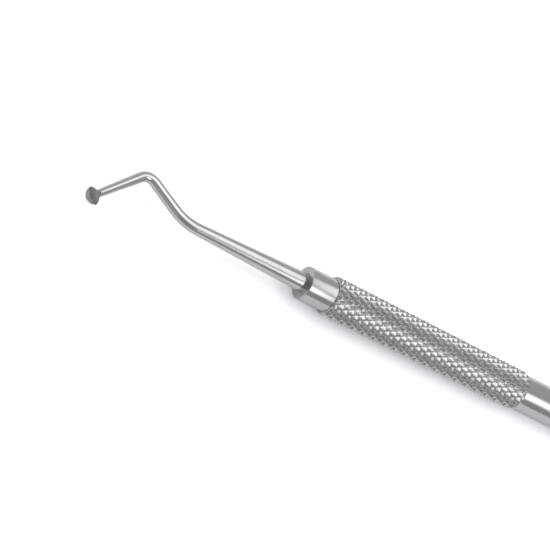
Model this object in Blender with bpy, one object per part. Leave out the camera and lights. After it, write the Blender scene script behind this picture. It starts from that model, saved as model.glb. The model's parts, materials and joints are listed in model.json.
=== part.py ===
"""Double-ended dental spoon excavator, a stainless hand instrument.

A turned bar with a diamond-knurled grip behind each collar holds a bent, tapered working end in a blind
socket at each end. The two working ends are a pair of opposite hands. Metres, X along the handle, Z up,
lying on the grips, with the origin under the middle of the handle.
"""

import math

import bmesh
import bpy
from mathutils import Matrix, Vector

# Handle bar
MIDDLE_RADIUS = 0.00254
MIDDLE_LENGTH = 0.0250
COLLAR_RADIUS = 0.00234
COLLAR_LENGTH = 0.0043
COLLAR_CHAMFER = 0.00008

# Diamond knurl: crossed helical grooves that leave rows of pointed diamonds
GRIP_RADIUS = 0.00288
KNURL_DEPTH = 0.00034
KNURL_PITCH = 0.0018
HALF_DIAMONDS_ALONG = 37
KNURL_STARTS = 20
KNURL_RUNOUT = 0.00008

# Tang in its socket
TANG_LENGTH = 0.0080
TANG_CHAMFER = 0.0003
SEAT_CLEARANCE = 0.0001
SOCKET_END_GAP = 0.0003
DRILL_POINT_ANGLE = math.radians(118)

# Shank: legs run from corner to corner, as if the bends were sharp
FIRST_LEG = 0.01951
SECOND_LEG = 0.00777
THIRD_LEG = 0.00903
BLADE_LEG = 0.00108
FIRST_BEND_ANGLE = math.radians(30)
SECOND_BEND_ANGLE = math.radians(72.2)
BLADE_BEND_ANGLE = math.radians(30)
FIRST_BEND_RADIUS = 0.0080
SECOND_BEND_RADIUS = 0.0019
BLADE_BEND_RADIUS = 0.0025

# Shank thickness, as a radius at each place
ROOT_THICKNESS = 0.00132
FIRST_BEND_THICKNESS = 0.00082
SECOND_BEND_THICKNESS = 0.00071
NECK_THICKNESS = 0.00053

# Spoon bowl: a ball with a short blunt toe, its upper half ground away by the crowned edge of a wheel
BOWL_RADIUS = 0.00123
BOWL_TOE_LENGTH = 0.00075
BOWL_HEEL_LENGTH = 0.00117
BOWL_TURN = math.radians(4.8)
FACE_WHEEL_RADIUS = 0.00163
FACE_WHEEL_CROWN_RADIUS = 0.0045
FACE_DEPTH = 0.0004
NECK_BELOW_BOWL_CENTRE = 0.00041

# Facets
SHANK_SIDES = 20
FIRST_BEND_STEPS = 6
SECOND_BEND_STEPS = 10
BLADE_BEND_STEPS = 4
BOWL_SEGMENTS = 24
BOWL_RINGS = 14
WHEEL_SEGMENTS = 30
WHEEL_RINGS = 18
SHARP_ANGLE = math.radians(30)

# Derived sizes
ROWS_AROUND = 2 * KNURL_STARTS
ROW_ANGLE = 2 * math.pi / ROWS_AROUND
GRIP_LENGTH = HALF_DIAMONDS_ALONG * KNURL_PITCH / 2
GRIP_START = MIDDLE_LENGTH / 2
GRIP_END = GRIP_START + GRIP_LENGTH
HANDLE_END = GRIP_END + COLLAR_LENGTH
SOCKET_RADIUS = ROOT_THICKNESS + SEAT_CLEARANCE
SOCKET_DEPTH = TANG_LENGTH + SOCKET_END_GAP
# The handle lies on two neighbouring rows of diamonds
AXIS_HEIGHT = GRIP_RADIUS * math.cos(ROW_ANGLE / 2)


def clear_scene():
    for old in list(bpy.data.objects):
        bpy.data.objects.remove(old, do_unlink=True)


def steel(name, colour, roughness):
    material = bpy.data.materials.new(name)
    material.use_nodes = True
    shader = material.node_tree.nodes["Principled BSDF"]
    shader.inputs["Base Color"].default_value = (*colour, 1.0)
    shader.inputs["Metallic"].default_value = 1.0
    shader.inputs["Roughness"].default_value = roughness
    return material


def to_object(bm, name, material, hand=Matrix.Identity(4)):
    """Turn a bmesh into an object on the handle's axis, mirrored through the centre for the other hand."""
    bm.transform(hand)
    bmesh.ops.recalc_face_normals(bm, faces=bm.faces)
    mesh = bpy.data.meshes.new(name)
    bm.to_mesh(mesh)
    bm.free()
    mesh.materials.append(material)
    mesh.shade_smooth()
    mesh.set_sharp_from_angle(angle=SHARP_ANGLE)
    made = bpy.data.objects.new(name, mesh)
    made.location.z = AXIS_HEIGHT
    bpy.context.collection.objects.link(made)
    return made


def as_guide(made):
    made.hide_render = True
    made.display_type = "WIRE"
    return made


def boolean(target, operation, tool):
    modifier = target.modifiers.new(operation.lower(), "BOOLEAN")
    modifier.operation = operation
    modifier.solver = "EXACT"
    modifier.object = tool


def half_profile():
    """Points (x, radius) of the bar, from the bottom of the socket out, round the collar and in to the grip."""
    socket_bottom = HANDLE_END - SOCKET_DEPTH
    drill_tip = socket_bottom - SOCKET_RADIUS / math.tan(DRILL_POINT_ANGLE / 2)
    points = [
        (drill_tip, 0.0),
        (socket_bottom, SOCKET_RADIUS),
        (HANDLE_END, SOCKET_RADIUS),
        (HANDLE_END, COLLAR_RADIUS - COLLAR_CHAMFER),
        (HANDLE_END - COLLAR_CHAMFER, COLLAR_RADIUS),
        (GRIP_END, COLLAR_RADIUS),
    ]
    groove_radius = GRIP_RADIUS - KNURL_DEPTH
    for ring in range(HALF_DIAMONDS_ALONG + 1):
        points.append((GRIP_END - ring * KNURL_PITCH / 2, groove_radius))
    points.append((GRIP_START - KNURL_RUNOUT, MIDDLE_RADIUS))
    return points


def raise_diamonds(bm):
    """Lift every second crossing of the grid to a point and crease the facets along the grooves."""
    groove_radius = GRIP_RADIUS - KNURL_DEPTH
    valleys = []
    for vert in bm.verts:
        from_end = GRIP_END - abs(vert.co.x)
        on_grid = abs(math.hypot(vert.co.y, vert.co.z) - groove_radius) < KNURL_DEPTH / 100
        if not on_grid or from_end < -KNURL_RUNOUT / 2 or from_end > GRIP_LENGTH + KNURL_RUNOUT / 2:
            continue
        ring = round(from_end / (KNURL_PITCH / 2))
        row = round(math.atan2(vert.co.z, vert.co.y) / ROW_ANGLE - 0.5)
        if (ring + row) % 2 == 0:
            vert.co.yz = vert.co.yz.normalized() * GRIP_RADIUS
        else:
            valleys.append(vert)
    bmesh.ops.connect_verts(bm, verts=valleys)


def make_handle():
    bm = bmesh.new()
    outward = half_profile()
    profile = outward + [(-x, radius) for x, radius in reversed(outward)]
    start = Matrix.Rotation(ROW_ANGLE / 2, 4, "X")
    verts = [bm.verts.new(start @ Vector((x, radius, 0.0))) for x, radius in profile]
    edges = [bm.edges.new(pair) for pair in zip(verts, verts[1:])]
    bmesh.ops.spin(bm, geom=verts + edges, cent=(0, 0, 0), axis=(1, 0, 0), angle=2 * math.pi,
                   steps=ROWS_AROUND, use_merge=True)
    bmesh.ops.remove_doubles(bm, verts=bm.verts, dist=KNURL_DEPTH / 100)
    raise_diamonds(bm)
    return to_object(bm, "handle", steel("handle_steel", (0.62, 0.62, 0.64), 0.24))


class ShankPath:
    """A frame that travels down the shank, X forward and Z up, and leaves a section wherever it is told to."""

    def __init__(self, start):
        self.frame = Matrix.Translation((start, 0, 0))
        self.travelled = 0.0
        self.sections = []

    def mark(self):
        self.sections.append((self.frame.copy(), self.travelled))

    def advance(self, length):
        self.frame = self.frame @ Matrix.Translation((length, 0, 0))
        self.travelled += length

    def bend(self, angle, radius, axis, steps):
        """Turn by angle about the frame's Y or Z axis on an arc, with a section at both ends and between."""
        centre = Vector((0, math.copysign(radius, angle), 0))
        if axis == "Y":
            centre = Vector((0, 0, -math.copysign(radius, angle)))
        to_centre = Matrix.Translation(centre)
        step = to_centre @ Matrix.Rotation(angle / steps, 4, axis) @ to_centre.inverted()
        self.mark()
        for _ in range(steps):
            self.frame = self.frame @ step
            self.travelled += abs(angle) * radius / steps
            self.mark()


def corner(angle, radius):
    """How far before its corner a bend begins."""
    return radius * math.tan(abs(angle) / 2)


def walk_shank():
    """Follow the shank from the collar's face to the bowl. Returns the path and its thickness at places."""
    first = corner(FIRST_BEND_ANGLE, FIRST_BEND_RADIUS)
    second = corner(SECOND_BEND_ANGLE, SECOND_BEND_RADIUS)
    blade = corner(BLADE_BEND_ANGLE, BLADE_BEND_RADIUS)
    path = ShankPath(HANDLE_END)
    path.mark()
    path.advance(FIRST_LEG - first)
    first_bend_at = path.travelled
    path.bend(-FIRST_BEND_ANGLE, FIRST_BEND_RADIUS, "Z", FIRST_BEND_STEPS)
    path.advance(SECOND_LEG - first - second)
    second_bend_at = path.travelled + SECOND_BEND_ANGLE * SECOND_BEND_RADIUS / 2
    path.bend(SECOND_BEND_ANGLE, SECOND_BEND_RADIUS, "Z", SECOND_BEND_STEPS)
    path.advance(THIRD_LEG - second - blade)
    neck_at = path.travelled
    path.bend(-BLADE_BEND_ANGLE, BLADE_BEND_RADIUS, "Y", BLADE_BEND_STEPS)
    path.advance(BLADE_LEG - blade)
    path.mark()
    taper = [
        (0.0, ROOT_THICKNESS),
        (first_bend_at, FIRST_BEND_THICKNESS),
        (second_bend_at, SECOND_BEND_THICKNESS),
        (neck_at, NECK_THICKNESS),
    ]
    return path, taper


def thickness_at(travelled, taper):
    for (near, near_size), (far, far_size) in zip(taper, taper[1:]):
        if travelled <= far:
            return near_size + (far_size - near_size) * (travelled - near) / (far - near)
    return taper[-1][1]


def ring_of(bm, frame, radius):
    """A circle of the shank, square to the frame's X axis."""
    square_on = Matrix.Rotation(math.pi / 2, 4, "Y")
    made = bmesh.ops.create_circle(bm, cap_ends=False, radius=radius, segments=SHANK_SIDES,
                                   matrix=frame @ square_on)
    return list({edge for vert in made["verts"] for edge in vert.link_edges})


def make_shank_blank(path, taper):
    bm = bmesh.new()
    tang_end = Matrix.Translation((HANDLE_END - TANG_LENGTH, 0, 0))
    tang_shoulder = Matrix.Translation((HANDLE_END - TANG_LENGTH + TANG_CHAMFER, 0, 0))
    rings = [
        ring_of(bm, tang_end, ROOT_THICKNESS - TANG_CHAMFER),
        ring_of(bm, tang_shoulder, ROOT_THICKNESS),
    ]
    for frame, travelled in path.sections:
        rings.append(ring_of(bm, frame, thickness_at(travelled, taper)))
    for near, far in zip(rings, rings[1:]):
        bmesh.ops.bridge_loops(bm, edges=near + far)
    bmesh.ops.holes_fill(bm, edges=rings[0] + rings[-1], sides=SHANK_SIDES)
    return bm


def make_bowl_blank(frame):
    """A ball with its own length towards the toe and towards the heel, in the bowl's frame."""
    bm = bmesh.new()
    bmesh.ops.create_uvsphere(bm, u_segments=BOWL_SEGMENTS, v_segments=BOWL_RINGS, radius=BOWL_RADIUS)
    toe = [vert for vert in bm.verts if vert.co.x > 0]
    heel = [vert for vert in bm.verts if vert.co.x < 0]
    bmesh.ops.scale(bm, vec=(BOWL_TOE_LENGTH / BOWL_RADIUS, 1, 1), verts=toe)
    bmesh.ops.scale(bm, vec=(BOWL_HEEL_LENGTH / BOWL_RADIUS, 1, 1), verts=heel)
    bm.transform(frame)
    return bm


def make_face_wheel(frame):
    """The grinding wheel, its axle across the bowl, sunk into the ball to the depth of the face."""
    bm = bmesh.new()
    bmesh.ops.create_uvsphere(bm, u_segments=WHEEL_SEGMENTS, v_segments=WHEEL_RINGS, radius=FACE_WHEEL_RADIUS)
    widening = math.sqrt(FACE_WHEEL_CROWN_RADIUS / FACE_WHEEL_RADIUS)
    bmesh.ops.scale(bm, vec=(1, widening, 1), verts=bm.verts)
    bm.transform(frame @ Matrix.Translation((0, 0, FACE_WHEEL_RADIUS - FACE_DEPTH)))
    return bm


def make_working_end(number, hand):
    path, taper = walk_shank()
    material = steel(f"working_end_{number}_steel", (0.66, 0.66, 0.68), 0.16)
    name = f"working_end_{number}"
    shank = to_object(make_shank_blank(path, taper), name, material, hand)
    turned = path.frame @ Matrix.Rotation(-BOWL_TURN, 4, "X")
    bowl_frame = turned @ Matrix.Translation((0, 0, NECK_BELOW_BOWL_CENTRE))
    bowl = as_guide(to_object(make_bowl_blank(bowl_frame), f"bowl_blank_{number}", material, hand))
    wheel = as_guide(to_object(make_face_wheel(bowl_frame), f"face_wheel_{number}", material, hand))
    boolean(shank, "UNION", bowl)
    boolean(shank, "DIFFERENCE", wheel)
    return shank


clear_scene()
make_handle()
make_working_end(1, Matrix.Identity(4))
make_working_end(2, Matrix.Diagonal((-1, -1, -1, 1)))
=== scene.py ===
"""Double-ended dental spoon excavator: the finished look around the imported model.

Metres, X along the handle towards the shown working end, Z up. The instrument lies on its knurled grips.
"""

import json
import math

import bmesh
import bpy
from mathutils import Matrix, Vector, noise

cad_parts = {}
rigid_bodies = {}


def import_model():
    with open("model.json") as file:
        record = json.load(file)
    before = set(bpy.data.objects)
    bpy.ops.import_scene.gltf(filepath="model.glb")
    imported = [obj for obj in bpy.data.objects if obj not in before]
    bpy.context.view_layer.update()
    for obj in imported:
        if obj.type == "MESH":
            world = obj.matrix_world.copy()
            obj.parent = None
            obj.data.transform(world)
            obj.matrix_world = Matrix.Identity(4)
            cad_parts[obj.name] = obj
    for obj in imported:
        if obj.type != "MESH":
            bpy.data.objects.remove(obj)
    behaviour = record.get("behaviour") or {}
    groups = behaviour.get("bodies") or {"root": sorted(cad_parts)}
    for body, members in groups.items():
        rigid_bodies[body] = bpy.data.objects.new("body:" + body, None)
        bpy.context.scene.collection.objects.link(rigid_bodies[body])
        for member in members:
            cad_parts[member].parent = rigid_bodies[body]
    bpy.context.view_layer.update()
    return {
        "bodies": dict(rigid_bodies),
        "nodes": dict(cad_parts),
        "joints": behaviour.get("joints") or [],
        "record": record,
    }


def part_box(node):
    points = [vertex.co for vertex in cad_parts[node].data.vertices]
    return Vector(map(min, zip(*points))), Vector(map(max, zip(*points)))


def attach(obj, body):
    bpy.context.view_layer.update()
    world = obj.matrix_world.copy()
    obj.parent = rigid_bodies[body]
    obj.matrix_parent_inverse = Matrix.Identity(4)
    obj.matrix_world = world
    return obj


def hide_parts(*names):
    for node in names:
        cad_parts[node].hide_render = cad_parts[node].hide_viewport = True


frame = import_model()

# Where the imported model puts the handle
HANDLE_LOW, HANDLE_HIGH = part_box("handle")
HANDLE_END = HANDLE_HIGH.x
AXIS_HEIGHT = (HANDLE_LOW.z + HANDLE_HIGH.z) / 2
ON_AXIS = Matrix.Translation((0, 0, AXIS_HEIGHT))
# Turns the shown half into the opposite hand at the other end
TO_OTHER_END = ON_AXIS @ Matrix.Diagonal((-1, -1, -1, 1)) @ ON_AXIS.inverted()

# Handle bar
MIDDLE_RADIUS = 0.00254
MIDDLE_LENGTH = 0.0250
COLLAR_RADIUS = 0.00234
COLLAR_LENGTH = 0.0043
COLLAR_CHAMFER = 0.00008
LIP_ROUND = 0.00003

# Diamond knurl
GRIP_RADIUS = 0.00288
KNURL_DEPTH = 0.00039
KNURL_PITCH = 0.0018
HALF_DIAMONDS_ALONG = 37
KNURL_STARTS = 20
GRID_PER_HALF = 2
GROOVE_ROUND = 0.00002
KNURL_WANDER = 0.000012
KNURL_RUNOUT = 0.00008
KNURL_LEAD_IN = 0.25        # from the end of the grip to the first diamond, in pitches
FIRST_ROW = 0.3             # from the side of the bar to the first row, in rows
KNURL_WANDER_SCALE = 900

# Tang in its socket
TANG_LENGTH = 0.0080
TANG_CHAMFER = 0.0003
SEAT_CLEARANCE = 0.00002
SOCKET_END_GAP = 0.0003
DRILL_POINT_ANGLE = math.radians(118)

# Shank
FIRST_LEG = 0.01951
SECOND_LEG = 0.00777
THIRD_LEG = 0.00903
BLADE_LEG = 0.00108
FIRST_BEND_ANGLE = math.radians(30)
SECOND_BEND_ANGLE = math.radians(72.2)
BLADE_BEND_ANGLE = math.radians(30)
FIRST_BEND_RADIUS = 0.0080
SECOND_BEND_RADIUS = 0.0019
BLADE_BEND_RADIUS = 0.0025
ROOT_THICKNESS = 0.00132
FIRST_BEND_THICKNESS = 0.00082
SECOND_BEND_THICKNESS = 0.00071
NECK_THICKNESS = 0.00053

# Spoon bowl
BOWL_RADIUS = 0.00123
BOWL_TOE_LENGTH = 0.00075
BOWL_HEEL_LENGTH = 0.00117
BOWL_TURN = math.radians(4.8)
FACE_WHEEL_RADIUS = 0.00163
FACE_WHEEL_CROWN_RADIUS = 0.0045
FACE_DEPTH = 0.0004
NECK_BELOW_BOWL_CENTRE = 0.00041
RIM_ROUND = 0.000025

# Smoothness
KNURL_EDGE_ANGLE = math.radians(12)
SHARP_EDGE_ANGLE = math.radians(25)
FLAT_FACE_WEIGHT = 50
SHANK_SIDES = 48
LEG_STEPS = (12, 4, 6)
BEND_STEPS = 20
BOWL_SEGMENTS = 72
WHEEL_SEGMENTS = 96

# Table: its half width, its white, the white that is seen, and how much of that the steel mirrors
TABLE_REACH = 3.0
TABLE_WHITE = (0.74, 0.74, 0.745)
SEEN_WHITE = (2.1, 2.1, 2.13)
MIRRORED_SHARE = 0.42

# Softboxes: place, turn in degrees, width, length, fades and leans across and along, radiance
MAIN_SOFTBOX = ((-0.068, -0.105, 0.40), -8.0, 0.30, 0.66, (0.18, 0.36), (0.35, 0.0), 1.25)
SIDE_SOFTBOX = ((-0.275, 0.335, 0.40), 14.0, 0.20, 0.66, (0.16, 0.40), (-0.4, -0.5), 2.4)

# Room: the level of its walls and how it falls towards +Y. Places in it are a direction, the angle up to
# which they are full, the angle at which they end, and a level.
WALL_LEVEL = 0.455
WALL_SLOPE = 0.10
BEHIND_CAMERA = ((0.485, 0.397, 0.779), 14, 60)
BEHIND_CAMERA_LEVEL = 0.28
WINDOW = ((0.24, 0.78, 0.57), 6, 12)
WINDOW_LEVEL = 0.45
DAYLIGHT = (0.98, 0.99, 1.0, 1)

# Slack for telling points apart, and how near points are merged in the bar and in the cut shank
HAIR = 0.000001
MERGE_DISTANCE = KNURL_DEPTH / 100
CUT_MERGE_DISTANCE = 0.000002

ROWS_AROUND = 2 * KNURL_STARTS
ROW_ANGLE = 2 * math.pi / ROWS_AROUND
GRIP_LENGTH = HALF_DIAMONDS_ALONG * KNURL_PITCH / 2
GRIP_START = MIDDLE_LENGTH / 2
GRIP_END = GRIP_START + GRIP_LENGTH
GROOVE_RADIUS = GRIP_RADIUS - KNURL_DEPTH
SOCKET_RADIUS = ROOT_THICKNESS + SEAT_CLEARANCE
SOCKET_DEPTH = TANG_LENGTH + SOCKET_END_GAP


# Camera

def aim_camera():
    """Stand the camera where the collar's face lands at its place in the picture."""
    lens_in_pixels = 3000.0
    picture = 550
    sensor_width = 36
    collar_right_of_middle, collar_below_middle = 28.0, 7.5
    distance = 0.3922
    right = Vector((-0.7809, -0.2043, 0.5903))
    up = Vector((0.3936, -0.8948, 0.2109))
    back = right.cross(up).normalized()
    up = back.cross(right).normalized()
    collar_face = Vector((HANDLE_END, 0, AXIS_HEIGHT))
    pixel = distance / lens_in_pixels
    middle = collar_face - collar_right_of_middle * pixel * right + collar_below_middle * pixel * up
    camera = bpy.data.cameras.new("camera")
    camera.sensor_width = sensor_width
    camera.lens = sensor_width * lens_in_pixels / picture
    camera.clip_start = 0.01
    holder = bpy.data.objects.new("camera", camera)
    turned = Matrix((right, up, back)).transposed().to_4x4()
    holder.matrix_world = Matrix.Translation(middle + distance * back) @ turned
    bpy.context.collection.objects.link(holder)
    bpy.context.scene.camera = holder


# Node trees

class Shade:
    """What a node gives. Arithmetic on it adds Math nodes."""

    def __init__(self, plan, socket):
        self.plan = plan
        self.socket = socket

    def math(self, operation, first, second):
        return self.plan.node("ShaderNodeMath", {"operation": operation}, {0: first, 1: second})

    def __add__(self, other):
        return self.math("ADD", self, other)

    __radd__ = __add__

    def __sub__(self, other):
        return self.math("SUBTRACT", self, other)

    def __rsub__(self, other):
        return self.math("SUBTRACT", other, self)

    def __mul__(self, other):
        return self.math("MULTIPLY", self, other)

    __rmul__ = __mul__

    def at_least(self, other):
        return self.math("MAXIMUM", self, other)


class NodePlan:
    """The node tree of a material, a lamp or the room."""

    def __init__(self, owner):
        owner.use_nodes = True
        self.owner = owner
        self.tree = owner.node_tree

    def feed(self, node_name, **sockets):
        """Feed a node that the tree starts with; underscores in a name stand for spaces."""
        for name, value in sockets.items():
            self.fill(self.tree.nodes[node_name].inputs[name.replace("_", " ")], value)

    def fill(self, socket, value):
        if isinstance(value, Shade):
            self.tree.links.new(value.socket, socket)
        else:
            socket.default_value = value

    def node(self, kind, settings, sockets, output=0):
        """Add a node: its settings first, then what its sockets take."""
        made = self.tree.nodes.new(kind)
        for name, value in settings.items():
            setattr(made, name, value)
        for name, value in sockets.items():
            self.fill(made.inputs[name], value)
        return Shade(self, made.outputs[output])

    def between(self, value, low, high, curve="LINEAR"):
        """0 up to the low value and 1 from the high one on."""
        return self.node("ShaderNodeMapRange", {"clamp": True, "interpolation_type": curve},
                         {"Value": value, "From Min": low, "From Max": high})

    def part_of(self, vector, axis):
        return self.node("ShaderNodeSeparateXYZ", {}, {"Vector": vector}, axis)

    def kind_of_ray(self, name):
        return self.node("ShaderNodeLightPath", {}, {}, name)


class Finish(NodePlan):
    """A surface finish."""

    def __init__(self, name):
        super().__init__(bpy.data.materials.new(name))

    def place(self, scale, attribute=None):
        """Coordinates of the piece, or of one of its attributes, times a scale for each axis."""
        if attribute:
            source = self.node("ShaderNodeAttribute", {"attribute_name": attribute}, {}, "Vector")
        else:
            source = self.node("ShaderNodeTexCoord", {}, {}, "Object")
        return self.node("ShaderNodeMapping", {}, {"Vector": source, "Scale": scale})

    def grain(self, place, detail=2.0):
        return self.node("ShaderNodeTexNoise", {}, {"Vector": place, "Scale": 1.0, "Detail": detail})

    def tint(self, factor, dark, light):
        return self.node("ShaderNodeMix", {"data_type": "RGBA"},
                         {"Factor": factor, 6: (*dark, 1), 7: (*light, 1)}, 2)

    def relief(self, height, distance, strength, over=None):
        sockets = {"Height": height, "Distance": distance, "Strength": strength}
        if over:
            sockets["Normal"] = over
        return self.node("ShaderNodeBump", {}, sockets)

    def dress(self, **sockets):
        self.feed("Principled BSDF", **sockets)
        return self.owner


def turned_steel():
    """Bar stock turned on a lathe: fine rings round the bar and a speckled skin all over it."""
    finish = Finish("turned_steel")
    rings = finish.grain(finish.place((26000, 300, 300)), detail=3)
    cloud = finish.grain(finish.place((500, 500, 500)), detail=4)
    speckle = finish.grain(finish.place((9000, 9000, 9000)), detail=2)
    roughness = 0.11 + 0.06 * rings + 0.06 * cloud
    colour = finish.tint(finish.between(cloud, 0.3, 0.7), (0.52, 0.52, 0.533), (0.575, 0.575, 0.586))
    skin = finish.relief(speckle, 0.000002, 0.5)
    lines = finish.relief(rings, 0.000001, 0.6, over=skin)
    return finish.dress(Base_Color=colour, Metallic=1.0, Roughness=roughness, Normal=lines)


def polished_steel():
    """The shank's polish, with faint strokes left along it."""
    finish = Finish("polished_steel")
    strokes = finish.grain(finish.place((260, 14000, 14000), "straightened"), detail=3)
    cloud = finish.grain(finish.place((700, 700, 700)), detail=3)
    roughness = 0.09 + 0.09 * strokes + 0.05 * cloud
    colour = finish.tint(finish.between(cloud, 0.3, 0.7), (0.56, 0.56, 0.568), (0.61, 0.61, 0.615))
    lines = finish.relief(strokes, 0.0000012, 0.6)
    return finish.dress(Base_Color=colour, Metallic=1.0, Roughness=roughness, Normal=lines)


def bowl_steel():
    """The rounded back of the bowl, smoothed by hand and rougher than the shank; its dark colour is painted
    shade that stands in for the dim surroundings it mirrors.
    """
    finish = Finish("bowl_steel")
    cloud = finish.grain(finish.place((2600, 2600, 2600)), detail=2)
    roughness = 0.20 + 0.10 * cloud
    # Painted shade: the steel colour is darkened to stand in for the dim surroundings that this back mirrors.
    colour = finish.tint(finish.between(cloud, 0.35, 0.65), (0.24, 0.24, 0.245), (0.38, 0.38, 0.385))
    return finish.dress(Base_Color=colour, Metallic=1.0, Roughness=roughness)


def ground_steel():
    """The dull face that the grinding wheel leaves."""
    finish = Finish("ground_steel")
    scratches = finish.grain(finish.place((9000, 30000, 9000), "straightened"), detail=3)
    cloud = finish.grain(finish.place((3600, 3600, 3600)), detail=3)
    roughness = 0.52 + 0.14 * scratches
    colour = finish.tint(finish.between(cloud, 0.3, 0.7), (0.25, 0.25, 0.252), (0.37, 0.37, 0.372))
    lines = finish.relief(scratches, 0.000004, 0.7)
    return finish.dress(Base_Color=colour, Metallic=1.0, Roughness=roughness, Normal=lines)


# Making pieces

def as_object(bm, name, *materials):
    mesh = bpy.data.meshes.new(name)
    bm.to_mesh(mesh)
    bm.free()
    for material in materials:
        mesh.materials.append(material)
    mesh.shade_smooth()
    made = bpy.data.objects.new(name, mesh)
    bpy.context.collection.objects.link(made)
    return made


def even_normals(made):
    """Let the large faces keep their flat look and the rounded edges carry the turn."""
    modifier = made.modifiers.new("even_normals", "WEIGHTED_NORMAL")
    modifier.mode = "FACE_AREA"
    modifier.weight = FLAT_FACE_WEIGHT


def sharp_edges(bm, angle, wanted):
    return [edge for edge in bm.edges
            if edge.is_manifold and edge.calc_face_angle() > angle
            and all(wanted(vert) for vert in edge.verts)]


def round_over(bm, edges, radius, segments):
    bmesh.ops.bevel(bm, geom=edges, affect="EDGES", offset=radius, segments=segments, profile=0.5,
                    material=-1, clamp_overlap=True)


# Handle

def half_profile():
    """Points (x, radius) of the bar, from the socket's bottom out, round the collar and in to the grip."""
    socket_bottom = HANDLE_END - SOCKET_DEPTH
    drill_tip = socket_bottom - SOCKET_RADIUS / math.tan(DRILL_POINT_ANGLE / 2)
    points = [
        (drill_tip, 0.0),
        (socket_bottom, SOCKET_RADIUS),
        (HANDLE_END, SOCKET_RADIUS),
        (HANDLE_END, COLLAR_RADIUS - COLLAR_CHAMFER),
        (HANDLE_END - COLLAR_CHAMFER, COLLAR_RADIUS),
        (GRIP_END, COLLAR_RADIUS),
    ]
    for ring in range(GRID_PER_HALF * HALF_DIAMONDS_ALONG + 1):
        points.append((GRIP_END - ring * KNURL_PITCH / 2 / GRID_PER_HALF, GROOVE_RADIUS))
    points.append((GRIP_START - KNURL_RUNOUT, MIDDLE_RADIUS))
    return points


def ridge(turns):
    """1 on every whole turn and 0 half-way between."""
    return abs(1 - 2 * (turns % 1.0))


def raise_diamonds(bm):
    """Lift the grid between the two families of grooves and crease it along them."""
    in_the_groove, on_the_point = 0.01, 0.9
    valleys = []
    for vert in bm.verts:
        from_end = GRIP_END - abs(vert.co.x)
        off_grid = abs(vert.co.yz.length - GROOVE_RADIUS) > MERGE_DISTANCE
        if off_grid or from_end < -KNURL_RUNOUT / 2 or from_end > GRIP_LENGTH + KNURL_RUNOUT / 2:
            continue
        along = from_end / KNURL_PITCH - KNURL_LEAD_IN
        around = (math.atan2(vert.co.z, vert.co.y) / ROW_ANGLE - FIRST_ROW) / 2
        height = min(ridge(along + around), ridge(along - around))
        if height < in_the_groove:
            valleys.append(vert)
            continue
        if height > on_the_point:
            vert.co.x += KNURL_WANDER * noise.noise(vert.co * KNURL_WANDER_SCALE)
        vert.co.yz = vert.co.yz.normalized() * (GROOVE_RADIUS + KNURL_DEPTH * height)
    bmesh.ops.connect_verts(bm, verts=valleys)


def make_handle(steel):
    bm = bmesh.new()
    outward = half_profile()
    profile = outward + [(-x, radius) for x, radius in reversed(outward)]
    start = Matrix.Rotation(FIRST_ROW * ROW_ANGLE, 4, "X")
    verts = [bm.verts.new(start @ Vector((x, radius, 0.0))) for x, radius in profile]
    edges = [bm.edges.new(pair) for pair in zip(verts, verts[1:])]
    bmesh.ops.spin(bm, geom=verts + edges, cent=(0, 0, 0), axis=(1, 0, 0), angle=2 * math.pi,
                   steps=ROWS_AROUND * GRID_PER_HALF, use_merge=True)
    bmesh.ops.remove_doubles(bm, verts=bm.verts, dist=MERGE_DISTANCE)
    raise_diamonds(bm)
    bmesh.ops.recalc_face_normals(bm, faces=bm.faces)

    def on_grip(vert):
        along = abs(vert.co.x)
        return GRIP_START - HAIR < along < GRIP_END + HAIR and vert.co.yz.length > COLLAR_RADIUS + HAIR

    def on_lip(vert):
        return abs(vert.co.x) > GRIP_END + COLLAR_LENGTH / 2 and vert.co.yz.length > SOCKET_RADIUS - HAIR

    round_over(bm, sharp_edges(bm, KNURL_EDGE_ANGLE, on_grip), GROOVE_ROUND, 2)
    round_over(bm, sharp_edges(bm, SHARP_EDGE_ANGLE, on_lip), LIP_ROUND, 3)
    bm.transform(ON_AXIS)
    made = as_object(bm, "turned_handle", steel)
    even_normals(made)
    return made


# Working ends

class ShankPath:
    """A frame that travels down the shank, X forward and Z up, and leaves a section where it is told to."""

    def __init__(self, start):
        self.frame = Matrix.Translation((start, 0, 0))
        self.travelled = 0.0
        self.sections = []

    def mark(self):
        self.sections.append((self.frame.copy(), self.travelled))

    def advance(self, length, steps=1):
        for _ in range(steps):
            self.frame = self.frame @ Matrix.Translation((length / steps, 0, 0))
            self.travelled += length / steps
            self.mark()

    def bend(self, angle, radius, axis, steps):
        """Turn by angle about the frame's Y or Z axis on an arc."""
        centre = Vector((0, math.copysign(radius, angle), 0))
        if axis == "Y":
            centre = Vector((0, 0, -math.copysign(radius, angle)))
        to_centre = Matrix.Translation(centre)
        step = to_centre @ Matrix.Rotation(angle / steps, 4, axis) @ to_centre.inverted()
        for _ in range(steps):
            self.frame = self.frame @ step
            self.travelled += abs(angle) * radius / steps
            self.mark()


def corner(angle, radius):
    """How far before its corner a bend begins."""
    return radius * math.tan(abs(angle) / 2)


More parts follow.
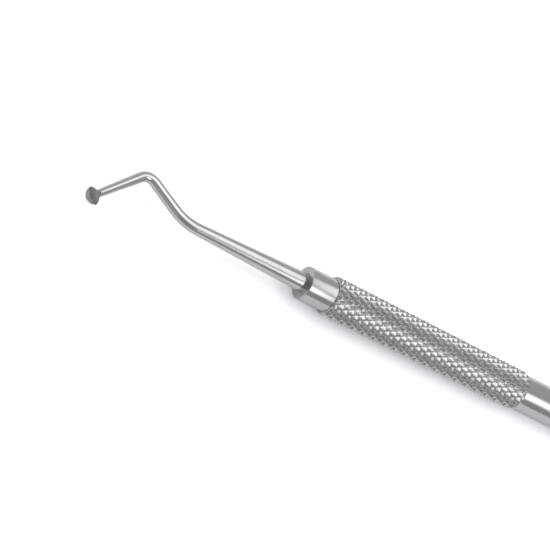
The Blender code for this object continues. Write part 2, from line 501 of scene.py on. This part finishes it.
def walk_shank():
    """Follow the rod from the tang's end to the bowl. Returns the path and the thickness at places on it."""
    first = corner(FIRST_BEND_ANGLE, FIRST_BEND_RADIUS)
    second = corner(SECOND_BEND_ANGLE, SECOND_BEND_RADIUS)
    blade = corner(BLADE_BEND_ANGLE, BLADE_BEND_RADIUS)
    path = ShankPath(HANDLE_END - TANG_LENGTH)
    path.mark()
    path.advance(TANG_CHAMFER)
    path.advance(TANG_LENGTH - TANG_CHAMFER)
    root = path.travelled
    path.advance(FIRST_LEG - first, LEG_STEPS[0])
    first_bend_at = path.travelled
    path.bend(-FIRST_BEND_ANGLE, FIRST_BEND_RADIUS, "Z", BEND_STEPS)
    path.advance(SECOND_LEG - first - second, LEG_STEPS[1])
    second_bend_at = path.travelled + SECOND_BEND_ANGLE * SECOND_BEND_RADIUS / 2
    path.bend(SECOND_BEND_ANGLE, SECOND_BEND_RADIUS, "Z", BEND_STEPS)
    path.advance(THIRD_LEG - second - blade, LEG_STEPS[2])
    neck_at = path.travelled
    path.bend(-BLADE_BEND_ANGLE, BLADE_BEND_RADIUS, "Y", BEND_STEPS // 2)
    path.advance(BLADE_LEG - blade)
    taper = [
        (0.0, ROOT_THICKNESS - TANG_CHAMFER),
        (TANG_CHAMFER, ROOT_THICKNESS),
        (root, ROOT_THICKNESS),
        (first_bend_at, FIRST_BEND_THICKNESS),
        (second_bend_at, SECOND_BEND_THICKNESS),
        (neck_at, NECK_THICKNESS),
    ]
    return path, taper


def thickness_at(travelled, taper):
    for (near, near_size), (far, far_size) in zip(taper, taper[1:]):
        if travelled <= far:
            return near_size + (far_size - near_size) * (travelled - near) / (far - near)
    return taper[-1][1]


def make_rod(path, taper):
    bm = bmesh.new()
    square_on = Matrix.Rotation(math.pi / 2, 4, "Y")
    rings = []
    for place, travelled in path.sections:
        made = bmesh.ops.create_circle(bm, cap_ends=False, radius=thickness_at(travelled, taper),
                                       segments=SHANK_SIDES, matrix=place @ square_on)
        edges = [edge for vert in made["verts"] for edge in vert.link_edges]
        rings.append(list(dict.fromkeys(edges)))
    for near, far in zip(rings, rings[1:]):
        bmesh.ops.bridge_loops(bm, edges=near + far)
    bmesh.ops.holes_fill(bm, edges=rings[0] + rings[-1], sides=SHANK_SIDES)
    bmesh.ops.recalc_face_normals(bm, faces=bm.faces)
    return bm


def make_bowl_blank(frame):
    """A ball with its own length towards the toe and towards the heel, in the bowl's frame."""
    bm = bmesh.new()
    bmesh.ops.create_uvsphere(bm, u_segments=BOWL_SEGMENTS, v_segments=BOWL_SEGMENTS // 2, radius=BOWL_RADIUS)
    toe = [vert for vert in bm.verts if vert.co.x > 0]
    heel = [vert for vert in bm.verts if vert.co.x < 0]
    bmesh.ops.scale(bm, vec=(BOWL_TOE_LENGTH / BOWL_RADIUS, 1, 1), verts=toe)
    bmesh.ops.scale(bm, vec=(BOWL_HEEL_LENGTH / BOWL_RADIUS, 1, 1), verts=heel)
    bm.transform(frame)
    return bm


def make_face_wheel(frame):
    """The grinding wheel, its axle across the bowl, sunk into the ball to the depth of the face."""
    bm = bmesh.new()
    bmesh.ops.create_uvsphere(bm, u_segments=WHEEL_SEGMENTS, v_segments=WHEEL_SEGMENTS // 2,
                              radius=FACE_WHEEL_RADIUS)
    widening = math.sqrt(FACE_WHEEL_CROWN_RADIUS / FACE_WHEEL_RADIUS)
    bmesh.ops.scale(bm, vec=(1, widening, 1), verts=bm.verts)
    bm.transform(frame @ Matrix.Translation((0, 0, FACE_WHEEL_RADIUS - FACE_DEPTH)))
    return bm


def cut(target, operation, tool):
    modifier = target.modifiers.new(operation.lower(), "BOOLEAN")
    modifier.operation = operation
    modifier.solver = "EXACT"
    modifier.material_mode = "TRANSFER"
    modifier.object = tool


def straighten(mesh, path):
    """Keep, for every point, where it would be on the straight rod, so that strokes can follow the bends."""
    kept = mesh.attributes.new("straightened", "FLOAT_VECTOR", "POINT")
    stations = [(place.inverted(), place.translation, travelled) for place, travelled in path.sections]
    for vert, slot in zip(mesh.vertices, kept.data):
        to_rod, _, travelled = min(stations, key=lambda station: (station[1] - vert.co).length_squared)
        local = to_rod @ vert.co
        slot.vector = (travelled + local.x, local.y, local.z)


def model_working_end(polished, darkened_back, ground):
    """The shown working end on the handle's axis, as a mesh."""
    path, taper = walk_shank()
    turned = path.frame @ Matrix.Rotation(-BOWL_TURN, 4, "X")
    bowl_frame = turned @ Matrix.Translation((0, 0, NECK_BELOW_BOWL_CENTRE))
    rod = as_object(make_rod(path, taper), "rod", polished)
    bowl = as_object(make_bowl_blank(bowl_frame), "bowl_blank", darkened_back)
    wheel = as_object(make_face_wheel(bowl_frame), "face_wheel", ground)
    cut(rod, "UNION", bowl)
    cut(rod, "DIFFERENCE", wheel)
    cut_rod = rod.evaluated_get(bpy.context.evaluated_depsgraph_get())
    mesh = bpy.data.meshes.new_from_object(cut_rod)
    for blank in (rod, bowl, wheel):
        bpy.data.objects.remove(blank, do_unlink=True)

    bm = bmesh.new()
    bm.from_mesh(mesh)
    bmesh.ops.remove_doubles(bm, verts=bm.verts, dist=CUT_MERGE_DISTANCE)

    def on_bowl(vert):
        return (vert.co - bowl_frame.translation).length < 2 * BOWL_RADIUS

    round_over(bm, sharp_edges(bm, SHARP_EDGE_ANGLE, on_bowl), RIM_ROUND, 2)
    bm.to_mesh(mesh)
    bm.free()
    straighten(mesh, path)
    mesh.shade_smooth()
    return mesh


def place_working_end(mesh, name, place, turned_over):
    bm = bmesh.new()
    bm.from_mesh(mesh)
    bm.transform(place)
    if turned_over:
        bmesh.ops.reverse_faces(bm, faces=bm.faces)
    made = as_object(bm, name, *mesh.materials)
    even_normals(made)
    return made


# Table and light

def lay_table():
    """A white table: it shades under the instrument and stays white to the eye."""
    bm = bmesh.new()
    bmesh.ops.create_grid(bm, x_segments=1, y_segments=1, size=TABLE_REACH)
    table = Finish("white_table")
    seen = table.kind_of_ray("Is Camera Ray")
    mirrored = table.kind_of_ray("Is Glossy Ray")
    colour = table.tint(seen + MIRRORED_SHARE * mirrored, TABLE_WHITE, SEEN_WHITE)
    as_object(bm, "table", table.dress(Base_Color=colour, Roughness=0.9, Specular_IOR_Level=0.0))


def hang_softbox(name, place, turn, width, length, fades, leans, radiance):
    """A rectangular softbox that faces down. It fades towards its edges, and one side may be brighter."""
    lamp = bpy.data.lights.new(name, "AREA")
    lamp.shape = "RECTANGLE"
    lamp.size = width
    lamp.size_y = length
    lamp.energy = math.pi * width * length
    cloth = NodePlan(lamp)
    spot = cloth.node("ShaderNodeNewGeometry", {}, {}, "Parametric")
    strength = radiance
    for axis, fade, lean in zip("XY", fades, leans):
        share = cloth.part_of(spot, axis)
        from_edge = share.math("PINGPONG", share, 0.5)
        strength = strength * cloth.between(from_edge, 0.0, fade, curve="SMOOTHSTEP")
        strength = strength * (1 - lean + 2 * lean * share)
    cloth.feed("Emission", Strength=strength)
    holder = bpy.data.objects.new(name, lamp)
    holder.location = place
    holder.rotation_euler.z = math.radians(turn)
    bpy.context.collection.objects.link(holder)


def light_room():
    """Dim walls that the steel mirrors, with a faint window, and white where the eye sees past the table."""
    room = NodePlan(bpy.data.worlds.new("room"))
    bpy.context.scene.world = room.owner
    look = room.node("ShaderNodeTexCoord", {}, {}, "Generated")

    def patch(direction, inner, outer):
        """1 within the inner angle of a direction, and 0 outside the outer one."""
        towards = room.node("ShaderNodeVectorMath", {"operation": "DOT_PRODUCT"},
                            {0: look, 1: direction}, "Value")
        return room.between(towards, math.cos(math.radians(outer)), math.cos(math.radians(inner)),
                            curve="SMOOTHSTEP")

    walls = WALL_LEVEL - WALL_SLOPE * room.part_of(look, "Y")
    level = walls - patch(*BEHIND_CAMERA) * (walls - BEHIND_CAMERA_LEVEL)
    level = level + WINDOW_LEVEL * patch(*WINDOW)
    seen = room.kind_of_ray("Is Camera Ray")
    room.feed("Background", Color=DAYLIGHT, Strength=level.at_least(seen))
    hang_softbox("main_softbox", *MAIN_SOFTBOX)
    hang_softbox("side_softbox", *SIDE_SOFTBOX)


aim_camera()
light_room()
lay_table()

handle_steel = turned_steel()
shank_steel = polished_steel()
# The bowl's back carries painted shade in its colour.
shaded_back_steel = bowl_steel()
face_steel = ground_steel()

handle = make_handle(handle_steel)
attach(handle, "root")
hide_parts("handle")

end_mesh = model_working_end(shank_steel, shaded_back_steel, face_steel)
ends = {
    "working_end_1": (ON_AXIS, False),
    "working_end_2": (TO_OTHER_END @ ON_AXIS, True),
}
for node, (place, turned_over) in ends.items():
    end = place_working_end(end_mesh, f"polished_{node}", place, turned_over)
    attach(end, "root")
    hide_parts(node)

bpy.context.scene.view_settings.view_transform = "Standard"
